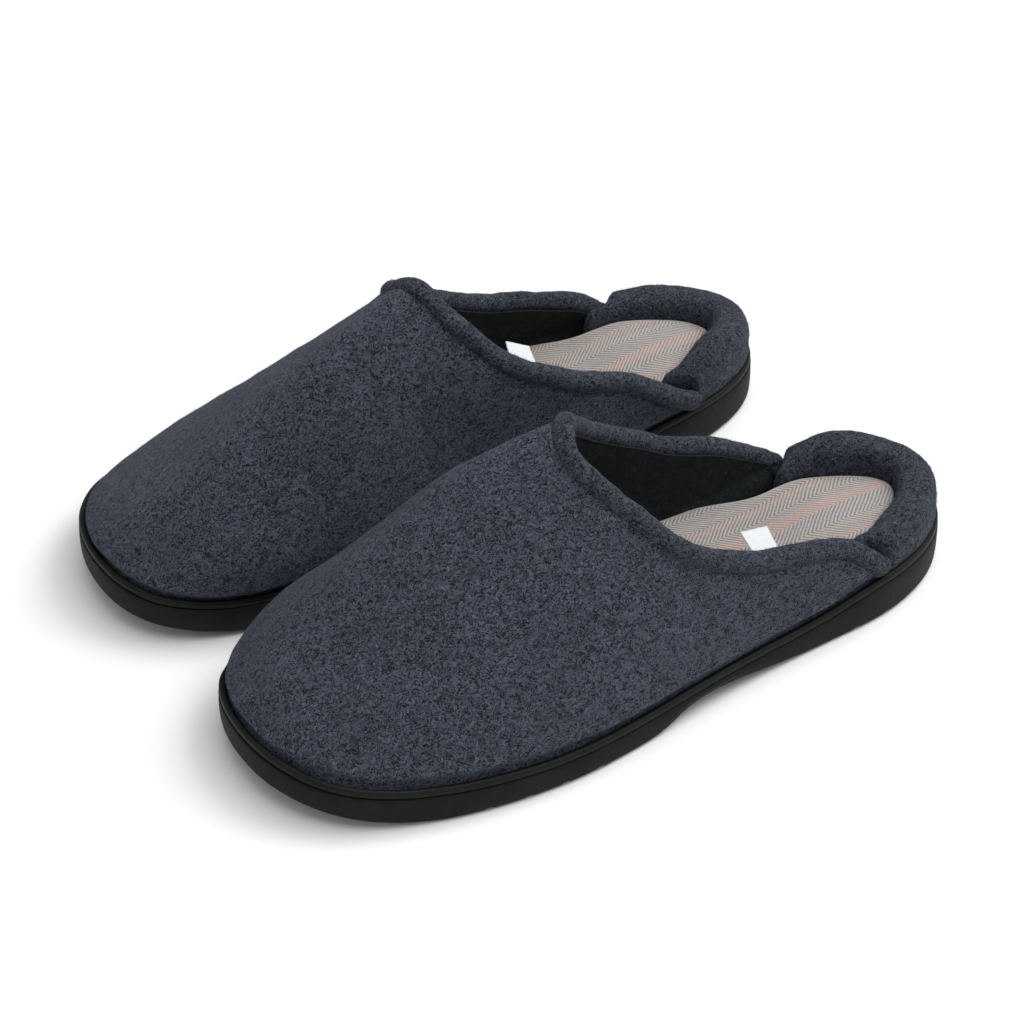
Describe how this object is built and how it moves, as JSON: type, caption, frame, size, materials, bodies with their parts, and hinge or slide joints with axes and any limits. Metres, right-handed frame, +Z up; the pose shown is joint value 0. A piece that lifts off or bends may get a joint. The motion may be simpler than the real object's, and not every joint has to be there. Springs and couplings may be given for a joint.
{
  "type": "slippers",
  "caption": "Pair of backless house slippers: padded felt uppers with a rolled topline, a low padded heel collar, a cloth-covered footbed and a moulded rubber sole.",
  "frame": {"origin": "on the floor, in the middle of the pair", "axes": "+Z up, toes towards -Y, the wearer's left slipper on the +X side"},
  "size_m": [0.2352, 0.2957, 0.1022],
  "materials": {
    "rubber_sole": "matte moulded black rubber",
    "rubber_rand": "satin black rubber band",
    "foam": "open-cell foam, hidden",
    "filler": "dark foam filler, hidden",
    "board": "pressed fibre board, hidden",
    "puff": "stiffened cloth, hidden",
    "felt": "napped melange wool felt, charcoal blue",
    "felt_binding": "rolled melange wool felt",
    "lining": "dark brushed cloth",
    "tweed": "herringbone tweed in cream, grey, rust and blue",
    "label_satin": "white woven satin, blank"
  },
  "bodies": {
    "left_slipper": {"left_outsole": "rubber_sole", "left_rand": "rubber_rand", "left_midsole_foam": "filler", "left_insole_board": "board", "left_footbed_foam": "foam", "left_footbed_cover": "tweed", "left_vamp_outer": "felt", "left_toe_puff": "puff", "left_vamp_foam": "foam", "left_vamp_lining": "lining", "left_topline_binding": "felt_binding", "left_collar_cover": "felt", "left_collar_foam": "foam"},
    "left_label_tab": {"left_label": "label_satin"},
    "right_slipper": {"right_outsole": "rubber_sole", "right_rand": "rubber_rand", "right_midsole_foam": "filler", "right_insole_board": "board", "right_footbed_foam": "foam", "right_footbed_cover": "tweed", "right_vamp_outer": "felt", "right_toe_puff": "puff", "right_vamp_foam": "foam", "right_vamp_lining": "lining", "right_topline_binding": "felt_binding", "right_collar_cover": "felt", "right_collar_foam": "foam"},
    "right_label_tab": {"right_label": "label_satin"}
  },
  "joints": [
    {"name": "pair_slide", "type": "slide", "parent": "left_slipper", "child": "right_slipper", "axis": [-1, 0, 0], "range_m": [0, 0.15]},
    {"name": "left_label_flap", "type": "hinge", "parent": "left_slipper", "child": "left_label_tab", "pos_m": [0.08892, 0.05596, 0.04109], "axis": [-0.0392, 0.9642, -0.2623], "range_deg": [-30, 45], "stiffness_Nm_per_rad": 0.0002},
    {"name": "right_label_flap", "type": "hinge", "parent": "right_slipper", "child": "right_label_tab", "pos_m": [-0.03003, 0.02366, 0.05976], "axis": [-0.0048, 0.9034, -0.4288], "range_deg": [-30, 45], "stiffness_Nm_per_rad": 0.0002}
  ]
}
